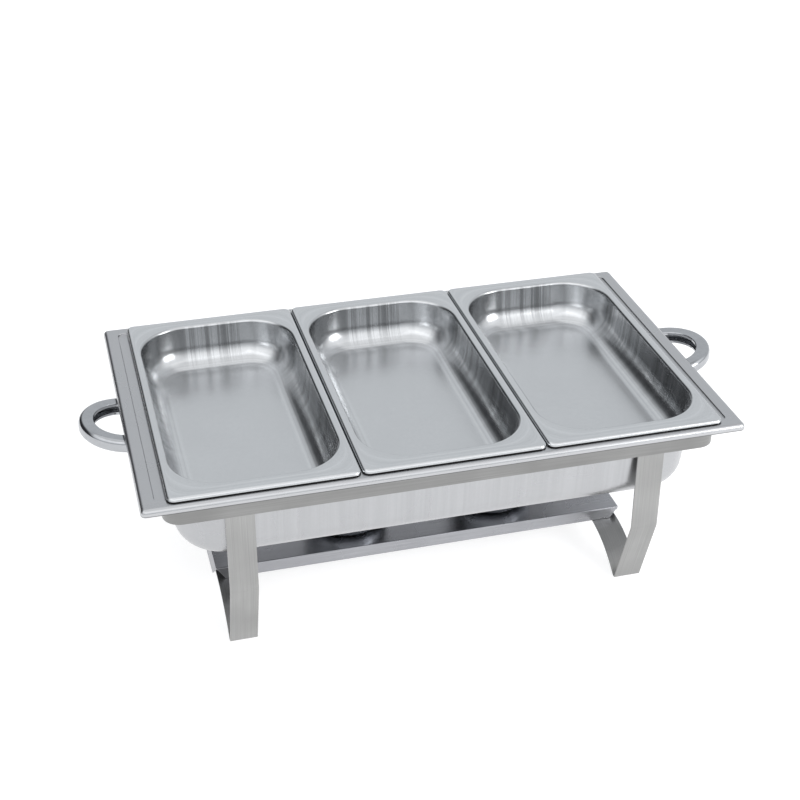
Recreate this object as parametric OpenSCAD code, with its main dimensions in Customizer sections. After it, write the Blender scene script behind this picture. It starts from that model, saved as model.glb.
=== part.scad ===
// Three-pan chafing dish: three food pans in one water pan, on a strap-steel stand with a fuel
// shelf and two fuel cups. Millimetres, +Z up. The origin is on the ground, under the middle of
// the water pan; the long side of the dish runs along X and the front faces -Y.

/* [Water pan] */
// Length of the water pan over its flange
pan_l = 530; // [440:5:640]
// Width of the water pan over its flange
pan_w = 325; // [265:5:400]
// Height of the flange top above the ground
pan_top = 180; // [150:5:230]
// Depth from the flange top to the outside of the floor
pan_depth = 80; // [60:5:100]
// Corner radius of the flange outline
pan_corner_r = 5; // [5:0.5:16]
// Depth of the downturned lip round the flange
pan_lip = 6.5; // [5.5:0.5:9]
// Radius of the flange edge, from flat to lip
pan_edge_r = 4; // [2.5:0.5:4.5]
// Width of the raised border round the flange
border_w = 13; // [10:1:15]
// Corner radius of the step inside the border
ledge_corner_r = 5; // [3:1:8]
// Drop from the raised border to the ledge inside it
ledge_drop = 1.5; // [1:0.25:2.5]
// Plan corner radius of the well at its mouth
well_corner_r = 49; // [42:1:50]
// Radius of the turn from the ledge into the well
well_mouth_r = 3; // [2:0.5:4]
// Outside radius between the wall and the floor of the well
well_floor_r = 25; // [15:1:30]
// Slope of the well walls from upright, degrees
well_draft = 6; // [1:0.5:7]
// Gap between the well and the ends of the food pans hanging in it
well_side_gap = 3; // [2:0.5:6]
// Gap between the well and the sides of the outer food pans
well_end_gap = 1.6; // [1.4:0.1:6]
// Sheet thickness of all the pans
pan_t = 0.8; // [0.6:0.1:1.2]

/* [Food pans] */
// Lap of a rim over the raised border, at the front and the back
food_seat = 7; // [4:0.5:8]
// Flat part of the rim at the front and the back, up to the mouth
food_end_rim = 16.5; // [15:0.5:20]
// Flat part of the rim at the long sides, up to the mouth
food_side_rim = 8.75; // [7:0.25:11]
// Depth of a food pan from its rim to the top of its floor
food_depth = 40; // [30:1:60]
// Corner radius of the rim outline
food_rim_corner_r = 7; // [5:0.5:10]
// Depth of the lip round the rim
food_lip = 3.9; // [3.2:0.1:6]
// Radius of the rim edge, from flat to lip
food_edge_r = 2.8; // [2:0.2:3]
// Plan corner radius of the mouth
mouth_corner_r = 44; // [38:1:50]
// Radius of the turn from the rim into the mouth
mouth_edge_r = 3; // [2:0.5:4]
// Inside radius between the wall and the floor of a food pan
food_floor_r = 22; // [10:1:24]
// Slope of the food pan walls from upright, degrees
food_draft = 5; // [2:0.5:6]
// Gap between neighbouring rims
rim_gap = 0.7; // [0.4:0.1:3]
// Distance from a rim to the step of the ledge, at each end
rim_end_gap = 7.55; // [5:0.05:10]
// How far the three loose pans have slid to the right
pans_shift = 1.5; // [-4:0.5:4]

/* [Stand] */
// Height of the band and width of the leg straps
strap_w = 25; // [20:1:30]
// Thickness of the leg straps
strap_t = 1.5; // [1.2:0.1:2]
// Thickness of the band
band_t = 1.2; // [1:0.1:1.5]
// Outside corner radius of the band
band_corner_r = 16; // [10:1:22]
// Gap between the well at its mouth and the leg straps
strap_gap = 1.2; // [0.8:0.1:4]
// Gap between the well at its mouth and the ends of the band
band_end_gap = 5.3; // [3.2:0.1:8]
// Distance from the end of the band to the middle of a leg strap
leg_inset = 62.6; // [40:0.1:90]
// Drop from the top of the band to the end of a leg strap
leg_drop = 2; // [0:0.5:6]
// Height of the bend where a leg turns inwards
leg_bend_z = 75; // [50:1:95]
// How far a foot stands inwards of the leg above it
foot_inset = 26; // [10:1:40]
// Width of the flat under each foot
foot_flat = 3.5; // [2:0.5:6]
// Height of the arch that carries the shelf
arch_z = 25; // [18:1:40]
// Half length of the level stretch on top of the arch
arch_level = 54; // [30:1:60]

/* [Handles] */
// Outside radius of the handle loop, half its breadth
loop_r = 41; // [28:0.5:50]
// How far a handle reaches from the band
handle_reach = 56.5; // [48:0.5:75]
// Width of the handle channel, seen from above
channel_w = 13; // [8:0.5:14]
// Height of the handle channel
channel_h = 12.4; // [9:0.2:16]
// Sheet thickness of the handle
handle_t = 1.2; // [0.8:0.1:1.6]
// Depth of the curled lips of the channel
channel_curl = 3; // [1:0.5:4]
// Rise of the handle away from the band, degrees
handle_tilt = 8; // [0:0.5:8]
// Height of the plate that joins the ends of the loop
handle_plate_h = 19; // [16:0.5:24]
// How far the plate runs past the loop at each side
handle_plate_past = 7; // [3:0.5:12]
// Gap between the handle channel and the lip of the flange above it
handle_lip_gap = 0.4; // [0.3:0.1:4]

/* [Rivets] */
// Shank diameter of the handle rivets
handle_rivet_d = 4; // [3:0.5:5]
// Head diameter of the handle rivets
handle_rivet_head_d = 8; // [6:0.5:10]
// Head height of the handle rivets
handle_rivet_head_h = 1.3; // [0.8:0.1:1.6]
// Distance between the two rivets of a handle
handle_rivet_pitch = 44; // [30:1:50]
// Shank diameter of the damper rivet
damper_rivet_d = 3; // [2.5:0.5:4]
// Head diameter of the damper rivet
damper_rivet_head_d = 6; // [5:0.5:8]
// Head height of the damper rivet
damper_rivet_head_h = 1; // [0.6:0.1:1.4]

/* [Fuel shelf] */
// How far the shelf plate runs past the middle of a leg strap
shelf_past = 13.5; // [8:0.5:24]
// Width of the shelf over its long lips
shelf_w = 120; // [96:2:140]
// Height of the long lips
shelf_lip = 12; // [8:0.5:18]
// Height of the end lips
shelf_end_lip = 9.5; // [6:0.5:11]
// How far the end lips spread outwards
shelf_end_flare = 3; // [0:0.5:5]
// Slant of the lip ends at the corners
shelf_mitre = 7; // [0:0.5:12]
// Sheet thickness of the shelf
shelf_t = 1; // [0.8:0.1:1.5]

/* [Fuel cups] */
// Outside diameter of a fuel cup
cup_d = 80; // [60:1:96]
// Room for the flame between the lids and the water pan
flame_room = 16; // [12:1:24]
// Outside radius between the wall and the base of a cup
cup_base_r = 10; // [4:1:14]
// Wall thickness of a cup and its lid
cup_t = 0.8; // [0.6:0.1:1.2]
// Distance between the two cups
cup_pitch = 145; // [110:1:200]
// How far the two loose cups stand to the right of the middle
cups_shift_x = 9; // [-20:1:20]
// How far the two loose cups stand behind the middle
cups_shift_y = -8; // [-10:1:10]
// Diameter of the burner opening in the lid
burner_d = 34; // [20:1:36]
// Height of the skirt of the lid
skirt_h = 7; // [4:0.5:10]
// How far the damper laps over the opening all round
damper_lap = 3.5; // [2:0.5:5]
// Distance of the damper rivet from the middle of the lid
damper_pivot_x = 29; // [27:0.5:31]
// Metal round the head of the damper rivet
damper_boss = 1; // [0.5:0.5:3]
// Thickness of the damper
damper_t = 1; // [0.6:0.1:1.5]
// Length of the finger tab past the damper
tab_l = 15; // [10:1:20]
// Width of the finger tab
tab_w = 9; // [6:1:14]

/* [Fits] */
// Gap between pieces that rest on each other
seat_gap = 0.1; // [0.05:0.05:0.3]
// Radial gap between a fixed rivet and its hole
rivet_gap = 0.05; // [0.03:0.01:0.1]
// Gap all round between a cup and the skirt of its lid
lid_gap = 0.3; // [0.2:0.05:0.6]
// Radial gap between the damper and its rivet
pivot_gap = 0.05; // [0.03:0.01:0.1]

/* [Hidden] */
$fn = 64;

arc_steps = 8;      // straight runs in each drawn bend of the sheet
overlap = 0.01;     // lap of a cutting solid past the face it cuts
head_taper = 0.6;   // top of a rivet head as a part of its full diameter

// Water pan
ledge_l = pan_l - 2 * border_w;
ledge_w = pan_w - 2 * border_w;
ledge_top = pan_top - ledge_drop;
ledge_under = ledge_top - pan_t;

// Food pans: three rims share the length of the ledge
food_l = ledge_w + 2 * food_seat;
food_w = (ledge_l - 2 * rim_end_gap - 2 * rim_gap) / 3;
food_pitch = food_w + rim_gap;
food_top = pan_top + seat_gap + food_lip;
mouth_l = food_l - 2 * food_end_rim;
mouth_w = food_w - 2 * food_side_rim;

// The well clears the food pans hanging in it
well_w = mouth_l + 2 * pan_t + 2 * well_side_gap + 2 * pan_t;
well_l = 2 * food_pitch + mouth_w + 2 * pan_t + 2 * abs(pans_shift) + 2 * well_end_gap;
well_floor_z = pan_top - pan_depth;

// Stand: the leg straps stand between the well and the band
band_w = well_w + 2 * (strap_gap + strap_t + band_t);
band_l = well_l + 2 * (band_end_gap + band_t);
band_top = ledge_under - seat_gap;
band_bottom = band_top - strap_w;
leg_y = band_w / 2 - band_t - strap_t / 2;
leg_x = band_l / 2 - leg_inset;
leg_top = band_top - leg_drop;
foot_y = leg_y - foot_inset;
leg_lean = atan(foot_inset / (leg_bend_z - strap_t / 2));
arch_foot_y = foot_y - foot_flat;
arch_run = arch_foot_y - arch_level;
arch_rise = arch_z - strap_t;
arch_r = (pow(arch_run, 2) + pow(arch_rise, 2)) / (2 * arch_rise);
arch_steps = 14;    // straight runs in each curve of an arch

// Handles
handle_top = pan_top - pan_lip - handle_lip_gap;
lip_x = pan_l / 2;
handle_z = handle_top - channel_h / 2 * cos(handle_tilt)
    - (lip_x - band_l / 2) * tan(handle_tilt);
arm_l = handle_reach - loop_r;
handle_plate_w = 2 * (loop_r + handle_plate_past);
handle_plate_z = band_bottom + strap_w / 2;

// Shelf and cups
shelf_bottom = arch_z + seat_gap;
shelf_top = shelf_bottom + shelf_lip;
shelf_fold_x = leg_x + shelf_past;
cup_z = shelf_top + seat_gap;
lid_top = well_floor_z - flame_room;
lid_under = lid_top - cup_t;
cup_h = lid_under - seat_gap - cup_z;
damper_d = burner_d + 2 * damper_lap;
damper_z = lid_top + seat_gap;

function arc(c, r, from, to, steps = arc_steps) =
    [for (i = [0 : steps]) let (a = from + (to - from) * i / steps)
        [c.x + r * cos(a), c.y + r * sin(a)]];

function flip(points) = [for (p = points) [-p.x, p.y]];
function reverse(points) = [for (i = [len(points) - 1 : -1 : 0]) points[i]];

// ---- shared shapes ----

module rounded_rect(l, w, r) {
    union() {
        square([l - 2 * r, w], center = true);
        square([l, w - 2 * r], center = true);
        for (x = [-1, 1], y = [-1, 1])
            translate([x * (l / 2 - r), y * (w / 2 - r)]) circle(r);
    }
}

// Straight run of a section, centred on Y, with the section's zero at the given X
module section_run(x, length) {
    translate([x, length / 2, 0]) rotate([90, 0, 0]) linear_extrude(length) children();
}

// Sweeps a section round a rounded rectangle; section X is the distance from the corner centre
module sweep_round(l, w, r) {
    for (a = [0, 180]) rotate(a) section_run(l / 2 - r, w - 2 * r) children();
    for (a = [90, 270]) rotate(a) section_run(w / 2 - r, l - 2 * r) children();
    for (corner = [[1, 1, 0], [-1, 1, 90], [-1, -1, 180], [1, -1, 270]])
        translate([corner.x * (l / 2 - r), corner.y * (w / 2 - r), 0]) rotate(corner.z)
            rotate_extrude(angle = 90) children();
}

// Section of a flange edge: from the flat, round the edge and down the lip
module edge_section(corner_r, edge_r, lip, t) {
    centre = [corner_r - edge_r, -edge_r];
    polygon(concat(
        [[0, 0]],
        arc(centre, edge_r, 90, 0),
        [[corner_r, -lip], [corner_r - t, -lip]],
        arc(centre, edge_r - t, 0, 90),
        [[0, -t]]
    ));
}

// Section of a drawn well below a flange: mouth turn, sloping wall and floor bend
module well_section(corner_r, mouth_r, depth, floor_r, draft, t) {
    mouth_c = [corner_r + mouth_r, -mouth_r];
    wall_top = [mouth_c.x - mouth_r * cos(draft), mouth_c.y + mouth_r * sin(draft)];
    floor_c_y = -depth + floor_r;
    wall_low_y = floor_c_y - floor_r * sin(draft);
    wall_low_x = wall_top.x - (wall_top.y - wall_low_y) * tan(draft);
    floor_c = [wall_low_x - floor_r * cos(draft), floor_c_y];
    polygon(concat(
        arc(mouth_c, mouth_r, 90, 180 - draft),
        arc(floor_c, floor_r, -draft, -90),
        arc(floor_c, floor_r + t, -90, -draft),
        arc(mouth_c, mouth_r - t, 180 - draft, 90)
    ));
}

// X of the floor's flat edge, measured from the corner centre, for the section above
function floor_edge(corner_r, mouth_r, depth, floor_r, draft) =
    let (top_x = corner_r + mouth_r - mouth_r * cos(draft),
         top_y = -mouth_r + mouth_r * sin(draft),
         low_y = -depth + floor_r - floor_r * sin(draft))
    top_x - (top_y - low_y) * tan(draft) - floor_r * cos(draft);

// Round head and shank of a rivet along Z, its heads clasping the given grip
module rivet(shank_d, head_d, head_h, grip) {
    translate([0, 0, -grip / 2 - head_h]) cylinder(d = head_d, h = head_h);
    translate([0, 0, -grip / 2 - head_h / 2]) cylinder(d = shank_d, h = grip + head_h);
    translate([0, 0, grip / 2]) cylinder(d1 = head_d, d2 = head_d * head_taper, h = head_h);
}

// ---- stand ----

module stand_band() {
    color("#8E8D88") translate([0, 0, band_bottom]) difference() {
        linear_extrude(strap_w) difference() {
            rounded_rect(band_l, band_w, band_corner_r);
            rounded_rect(band_l - 2 * band_t, band_w - 2 * band_t, band_corner_r - band_t);
        }
        for (x = [-1, 1], y = [-1, 1])
            translate([x * (band_l - band_t) / 2, y * handle_rivet_pitch / 2, strap_w / 2])
                rotate([0, 90, 0])
                    cylinder(r = handle_rivet_d / 2 + rivet_gap, h = band_t + 2 * overlap,
                        center = true);
    }
}

// Curve of a strap from a foot up to the level top, at the given distance from its middle
function arch_curve(offset) =
    let (r = arch_r + offset,
         centre = [arch_level, arch_z - strap_t / 2 - arch_r],
         foot = asin((strap_t / 2 + offset - centre.y) / r))
    arc(centre, r, foot, 90, arch_steps);

// Outline of a strap seen along X: the outer line and the inner line, each from one leg top
// to the other, with mitred bends
module strap_outline() {
    half = strap_t / 2;
    bend = half / cos(leg_lean / 2) * [cos(leg_lean / 2), -sin(leg_lean / 2)];
    foot_mitre = half * (1 / cos(leg_lean) - tan(leg_lean));
    outer = concat(
        [[leg_y + half, leg_top], [leg_y + bend.x, leg_bend_z + bend.y], [foot_y + foot_mitre, 0]],
        arch_curve(-half)
    );
    inner = concat(
        [[leg_y - half, leg_top], [leg_y - bend.x, leg_bend_z - bend.y],
            [foot_y - foot_mitre, strap_t]],
        arch_curve(half)
    );
    polygon(concat(outer, reverse(flip(outer)), flip(inner), reverse(inner)));
}

module leg_strap(side) {
    color("#A3A5A6") translate([side * leg_x - strap_w / 2, 0, 0])
        rotate([90, 0, 90]) linear_extrude(strap_w) strap_outline();
}

// ---- handles ----

// C-shaped channel, open towards the inside of the loop; X is the radius of the loop
module channel_section() {
    outer = loop_r;
    inner = loop_r - channel_w;
    for (y = [channel_h / 2 - handle_t, -channel_h / 2])
        translate([inner, y]) square([channel_w, handle_t]);
    translate([outer - handle_t, -channel_h / 2]) square([handle_t, channel_h]);
    for (y = [channel_h / 2 - channel_curl, -channel_h / 2])
        translate([inner, y]) square([handle_t, channel_curl]);
}

module handle(side) {
    cutter = 4 * channel_h;
    color("#C4C6C8") rotate(side > 0 ? 0 : 180) {
        difference() {
            translate([band_l / 2, 0, handle_z]) rotate([0, -handle_tilt, 0]) {
                translate([arm_l, 0, 0]) rotate(-90) rotate_extrude(angle = 180)
                    channel_section();
                for (m = [0, 1]) mirror([0, m, 0])
                    translate([-channel_h, 0, 0]) rotate([90, 0, 90])
                        linear_extrude(arm_l + channel_h) channel_section();
            }
            translate([band_l / 2 - cutter, -2 * loop_r, handle_z - cutter / 2])
                cube([cutter, 4 * loop_r, cutter]);
        }
        difference() {
            translate([band_l / 2, -handle_plate_w / 2, handle_plate_z - handle_plate_h / 2])
                cube([handle_t, handle_plate_w, handle_plate_h]);
            for (y = [-1, 1])
                translate([band_l / 2 - overlap, y * handle_rivet_pitch / 2, handle_plate_z])
                    rotate([0, 90, 0]) cylinder(r = handle_rivet_d / 2 + rivet_gap,
                        h = handle_t + 2 * overlap);
        }
    }
}

module handle_rivets(side) {
    color("#B9BBBD") rotate(side > 0 ? 0 : 180)
        for (y = [-1, 1])
            translate([band_l / 2 + (handle_t - band_t) / 2, y * handle_rivet_pitch / 2,
                    handle_plate_z])
                rotate([0, 90, 0])
                    rivet(handle_rivet_d, handle_rivet_head_d, handle_rivet_head_h,
                        band_t + handle_t);
}

// ---- fuel shelf and cups ----

module shelf_long_lip() {
    translate([0, -shelf_w / 2 + shelf_t, shelf_bottom]) rotate([90, 0, 0])
        linear_extrude(shelf_t) polygon([
            [-shelf_fold_x, shelf_lip], [shelf_fold_x, shelf_lip],
            [shelf_fold_x - shelf_mitre, 0], [-shelf_fold_x + shelf_mitre, 0]
        ]);
}

module shelf_end_lip_side() {
    half_w = shelf_w / 2 - shelf_t - seat_gap;
    intersection() {
        translate([shelf_fold_x, half_w, shelf_top]) rotate([90, 0, 0])
            linear_extrude(2 * half_w) polygon([
                [-shelf_t, 0], [0, 0], [shelf_end_flare, -shelf_end_lip],
                [shelf_end_flare - shelf_t, -shelf_end_lip]
            ]);
        translate([shelf_fold_x - 2 * shelf_t, 0, shelf_top]) rotate([90, 0, 90])
            linear_extrude(shelf_end_flare + 3 * shelf_t) polygon([
                [-half_w, 0], [half_w, 0],
                [half_w - shelf_mitre, -shelf_end_lip], [-half_w + shelf_mitre, -shelf_end_lip]
            ]);
    }
}

module fuel_shelf() {
    color("#9A9BA0") {
        translate([-shelf_fold_x, -shelf_w / 2, shelf_top - shelf_t])
            cube([2 * shelf_fold_x, shelf_w, shelf_t]);
        for (a = [0, 180]) rotate(a) {
            shelf_long_lip();
            shelf_end_lip_side();
        }
    }
}

module at_cup(side) {
    translate([cups_shift_x + side * cup_pitch / 2, cups_shift_y, 0])
        children();
}

module fuel_cup(side) {
    r = cup_d / 2;
    centre = [r - cup_base_r, cup_base_r];
    color("#5C5E60") at_cup(side) translate([0, 0, cup_z]) rotate_extrude() polygon(concat(
        [[0, 0]],
        arc(centre, cup_base_r, -90, 0),
        [[r, cup_h], [r - cup_t, cup_h]],
        arc(centre, cup_base_r - cup_t, 0, -90),
        [[0, cup_t]]
    ));
}

module cup_lid(side) {
    skirt_r = cup_d / 2 + lid_gap;
    color("#7C7E80") at_cup(side) difference() {
        translate([0, 0, lid_top - skirt_h]) cylinder(r = skirt_r + cup_t, h = skirt_h);
        translate([0, 0, lid_top - skirt_h - overlap])
            cylinder(r = skirt_r, h = skirt_h - cup_t + overlap);
        translate([0, 0, lid_under - overlap]) cylinder(d = burner_d, h = cup_t + 2 * overlap);
        translate([damper_pivot_x, 0, lid_under - overlap])
            cylinder(r = damper_rivet_d / 2 + rivet_gap, h = cup_t + 2 * overlap);
    }
}

module damper(side) {
    boss_d = damper_rivet_head_d + 2 * damper_boss;
    color("#A9ABAD") at_cup(side) translate([0, 0, damper_z]) difference() {
        union() {
            cylinder(d = damper_d, h = damper_t);
            translate([damper_pivot_x, 0, 0]) cylinder(d = boss_d, h = damper_t);
            translate([0, -boss_d / 2, 0]) cube([damper_pivot_x, boss_d, damper_t]);
            translate([-damper_d / 2 - tab_l, -tab_w / 2, 0])
                cube([damper_d / 2 + tab_l, tab_w, damper_t]);
            translate([-damper_d / 2 - tab_l, 0, 0]) cylinder(d = tab_w, h = damper_t);
        }
        translate([damper_pivot_x, 0, -overlap])
            cylinder(r = damper_rivet_d / 2 + pivot_gap, h = damper_t + 2 * overlap);
    }
}

module damper_rivet(side) {
    grip = cup_t + 2 * seat_gap + damper_t;
    color("#B9BBBD") at_cup(side) translate([damper_pivot_x, 0, lid_under + grip / 2])
        rivet(damper_rivet_d, damper_rivet_head_d, damper_rivet_head_h, grip);
}

// ---- pans ----

module water_pan() {
    depth = pan_depth - ledge_drop - pan_t;
    inner_r = well_corner_r;
    floor_x = floor_edge(inner_r, well_mouth_r, depth, well_floor_r - pan_t, well_draft);
    inner_l = well_l - 2 * pan_t;
    inner_w = well_w - 2 * pan_t;
    color("#B9BBBE") {
        // raised border and its lip
        translate([0, 0, pan_top]) sweep_round(pan_l, pan_w, pan_corner_r)
            edge_section(pan_corner_r, pan_edge_r, pan_lip, pan_t);
        translate([0, 0, pan_top - pan_t]) linear_extrude(pan_t) difference() {
            square([pan_l - 2 * pan_corner_r, pan_w - 2 * pan_corner_r], center = true);
            rounded_rect(ledge_l, ledge_w, ledge_corner_r);
        }
        // step down to the ledge
        translate([0, 0, ledge_under]) linear_extrude(ledge_drop + pan_t) difference() {
            rounded_rect(ledge_l + 2 * pan_t, ledge_w + 2 * pan_t, ledge_corner_r + pan_t);
            rounded_rect(ledge_l, ledge_w, ledge_corner_r);
        }
        // ledge round the well
        translate([0, 0, ledge_under]) linear_extrude(pan_t) difference() {
            rounded_rect(ledge_l + 2 * pan_t, ledge_w + 2 * pan_t, ledge_corner_r + pan_t);
            rounded_rect(inner_l + 2 * well_mouth_r, inner_w + 2 * well_mouth_r,
                inner_r + well_mouth_r);
        }
        // well and its floor
        translate([0, 0, ledge_top]) sweep_round(inner_l, inner_w, inner_r)
            well_section(inner_r, well_mouth_r, depth, well_floor_r - pan_t, well_draft, pan_t);
        translate([0, 0, well_floor_z]) linear_extrude(pan_t)
            rounded_rect(inner_l - 2 * (inner_r - floor_x), inner_w - 2 * (inner_r - floor_x),
                floor_x);
    }
}

module food_pan(place) {
    floor_x = floor_edge(mouth_corner_r, mouth_edge_r, food_depth, food_floor_r, food_draft);
    color("#C6C9CB") translate([pans_shift + place * food_pitch, 0, food_top]) {
        sweep_round(food_w, food_l, food_rim_corner_r)
            edge_section(food_rim_corner_r, food_edge_r, food_lip, pan_t);
        translate([0, 0, -pan_t]) linear_extrude(pan_t) difference() {
            square([food_w - 2 * food_rim_corner_r, food_l - 2 * food_rim_corner_r], center = true);
            rounded_rect(mouth_w + 2 * mouth_edge_r, mouth_l + 2 * mouth_edge_r,
                mouth_corner_r + mouth_edge_r);
        }
        sweep_round(mouth_w, mouth_l, mouth_corner_r)
            well_section(mouth_corner_r, mouth_edge_r, food_depth, food_floor_r, food_draft,
                pan_t);
        translate([0, 0, -food_depth - pan_t]) linear_extrude(pan_t)
            rounded_rect(mouth_w - 2 * (mouth_corner_r - floor_x),
                mouth_l - 2 * (mouth_corner_r - floor_x), floor_x);
    }
}

stand_band();
leg_strap(-1);  // leg_strap_left
leg_strap(1);  // leg_strap_right
handle(-1);  // handle_left
handle(1);  // handle_right
handle_rivets(-1);  // handle_rivets_left
handle_rivets(1);  // handle_rivets_right
fuel_shelf();
fuel_cup(-1);  // fuel_cup_left
fuel_cup(1);  // fuel_cup_right
cup_lid(-1);  // cup_lid_left
cup_lid(1);  // cup_lid_right
damper(-1);  // damper_left
damper(1);  // damper_right
damper_rivet(-1);  // damper_rivet_left
damper_rivet(1);  // damper_rivet_right
water_pan();
food_pan(-1);  // food_pan_left
food_pan(0);  // food_pan_middle
food_pan(1);  // food_pan_right
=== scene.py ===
# %% [markdown]
# # A three-pan chafing dish
# A chafing dish keeps food warm on a buffet. Three food pans hang in one water pan, a strap-steel
# stand carries the water pan, and two fuel cups burn on a shelf below. Every piece is stainless
# sheet or strip, so the picture lives from clean bends, thin edges and what the metal reflects.
# All lengths are metres; sizes written in millimetres are multiplied by MM.

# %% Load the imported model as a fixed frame
import math
from collections import namedtuple

import bmesh
import bpy
from mathutils import Matrix, Vector


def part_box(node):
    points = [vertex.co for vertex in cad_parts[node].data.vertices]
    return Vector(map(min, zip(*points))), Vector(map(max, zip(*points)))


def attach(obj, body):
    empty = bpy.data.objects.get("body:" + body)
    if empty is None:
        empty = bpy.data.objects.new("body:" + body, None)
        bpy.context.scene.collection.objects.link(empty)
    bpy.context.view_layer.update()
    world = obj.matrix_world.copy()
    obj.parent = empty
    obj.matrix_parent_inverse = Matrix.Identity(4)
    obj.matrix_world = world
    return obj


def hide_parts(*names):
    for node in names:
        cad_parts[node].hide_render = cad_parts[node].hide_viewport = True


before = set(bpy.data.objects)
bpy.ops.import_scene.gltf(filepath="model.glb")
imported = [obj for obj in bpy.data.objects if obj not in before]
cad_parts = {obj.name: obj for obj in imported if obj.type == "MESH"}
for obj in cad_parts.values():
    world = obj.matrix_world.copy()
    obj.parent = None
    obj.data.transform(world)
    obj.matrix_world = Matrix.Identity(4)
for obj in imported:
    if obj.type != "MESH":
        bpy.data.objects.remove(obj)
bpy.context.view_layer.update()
MM = 0.001

# %% [markdown]
# ## Camera
# The camera looks down on the front left corner from about thirty degrees, through a short
# telephoto lens. Its place is worked out from the point it looks at, a direction and a distance.

# %% The camera
LENS_MM = 67.31
AZIMUTH, ELEVATION = math.radians(-14.9), math.radians(30.4)
DISTANCE = 1.3489
LOOK_AT = Vector((-0.0185, -0.0435, 0.18))

towards_camera = Vector((
    math.sin(AZIMUTH) * math.cos(ELEVATION),
    -math.cos(AZIMUTH) * math.cos(ELEVATION),
    math.sin(ELEVATION),
))
camera_data = bpy.data.cameras.new("camera")
camera_data.lens = LENS_MM
camera = bpy.data.objects.new("camera", camera_data)
camera.location = LOOK_AT + DISTANCE * towards_camera
camera.rotation_euler = (-towards_camera).to_track_quat("-Z", "Y").to_euler()
bpy.context.scene.collection.objects.link(camera)
bpy.context.scene.camera = camera
print("camera at", [round(c, 4) for c in camera.location])

# %% [markdown]
# ## Materials: how a node is added
# Colours are picked as sRGB hex values and turned to linear light by one function. Another
# function adds a node with its settings and links, so that each material below reads as a list.

# %% Colour and node helpers


def linear(hex_colour):
    """sRGB hex string to a linear RGBA colour."""
    values = [int(hex_colour[i:i + 2], 16) / 255 for i in (1, 3, 5)]
    return [v / 12.92 if v <= 0.04045 else ((v + 0.055) / 1.055) ** 2.4 for v in values] + [1.0]


def add_node(tree, kind, settings=None, **links):
    """Adds a node; a link is a socket of another node, or a plain value, by input name."""
    node = tree.nodes.new(kind)
    for name, value in (settings or {}).items():
        setattr(node, name, value)
    for name, value in links.items():
        socket = node.inputs[int(name[1:])] if name[1:].isdigit() else node.inputs[
            name.replace("_", " ")]
        if isinstance(value, bpy.types.NodeSocket):
            tree.links.new(value, socket)
        else:
            socket.default_value = value
    return node


# %% [markdown]
# ## Stainless steel
# Satin stainless is a mirror that has been slightly roughened. Rolling leaves fine lines along
# the strip, sheet is never perfectly flat, and handling leaves faint cloudy patches. So each
# finish has three patterns on Object coordinates: fine lines for the bump, a slow swell that
# bends reflections, and clouds that vary the colour and the roughness a little.

# %% One recipe for every stainless finish
CLOUD_SIZE, SWELL_SIZE = 45 * MM, 120 * MM
SWELL_HEIGHT, LINE_HEIGHT = 0.5 * MM, 0.02 * MM


def stainless(name, colour, roughness, grain, lines=0.3, swell=0.1, clouds=0.02, shade=0.9):
    """A rolled finish. grain is lines per metre along X, Y and Z; shade darkens the clouds."""
    material = bpy.data.materials.new(name)
    material.use_nodes = True
    tree = material.node_tree
    shader = tree.nodes["Principled BSDF"]
    shader.inputs["Metallic"].default_value = 1.0
    place = add_node(tree, "ShaderNodeTexCoord").outputs["Object"]
    along = add_node(tree, "ShaderNodeMapping", Vector=place, Scale=grain)
    grain_lines = add_node(tree, "ShaderNodeTexNoise", Vector=along.outputs[0], Scale=1.0,
                           Detail=2.0, Roughness=0.5)
    cloud = add_node(tree, "ShaderNodeTexNoise", Vector=place, Scale=1 / CLOUD_SIZE, Detail=2.0,
                     Roughness=0.5)
    swells = add_node(tree, "ShaderNodeTexNoise", Vector=place, Scale=1 / SWELL_SIZE,
                      Detail=0.0)

    gloss = add_node(tree, "ShaderNodeMapRange", Value=cloud.outputs[0], From_Min=0.3,
                     From_Max=0.7, To_Min=roughness - clouds, To_Max=roughness + clouds)
    tree.links.new(gloss.outputs[0], shader.inputs["Roughness"])

    both = add_node(tree, "ShaderNodeMath", {"operation": "MULTIPLY"}, _0=cloud.outputs[0],
                    _1=grain_lines.outputs[0])
    stain = add_node(tree, "ShaderNodeMapRange", Value=both.outputs[0], From_Min=0.12,
                     From_Max=0.42)
    bright = linear(colour)
    metal = add_node(tree, "ShaderNodeMix", {"data_type": "RGBA"}, _0=stain.outputs[0],
                     _6=[c * shade for c in bright[:3]] + [1.0], _7=bright)
    tree.links.new(metal.outputs[2], shader.inputs["Base Color"])

    wave = add_node(tree, "ShaderNodeBump", Height=swells.outputs[0], Strength=swell,
                    Distance=SWELL_HEIGHT)
    fine = add_node(tree, "ShaderNodeBump", Height=grain_lines.outputs[0], Strength=lines,
                    Distance=LINE_HEIGHT, Normal=wave.outputs[0])
    tree.links.new(fine.outputs[0], shader.inputs["Normal"])
    return material


# %% [markdown]
# ## Draw marks and painted shade
# A press stretches a pan's walls over the punch, which leaves streaks straight down the walls
# and faint rings on the rim, where the blank slid in under the clamp. Both follow the sheet and
# not the room, so the pans carry two attributes: `drawn`, which holds the place round the mouth
# and the distance down the section, and `wall`, which is 1 on the walls and 0 on the flats.
# Real streaks are a tenth of a millimetre wide; these are wider, so that they show. Every wall
# is also darkened as painted shade, and the end of the lip is painted near-black, a painted
# shadow line under the rim.

# %% Streaks and rings that follow the sheet, painted shade on the walls and under the lip
STREAK_WIDTH, STREAK_LENGTH, RING_PITCH = 3.2 * MM, 160 * MM, 2.4 * MM
STREAK_HEIGHT, RING_HEIGHT = 0.05 * MM, 0.05 * MM
# The last few millimetres up from the end of the lip are painted near-black: a painted shadow line
# under the rim.
LIP_SHADOW_REACH, LIP_SHADOW_COLOUR = 2.2 * MM, "#2C2C2D"


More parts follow.
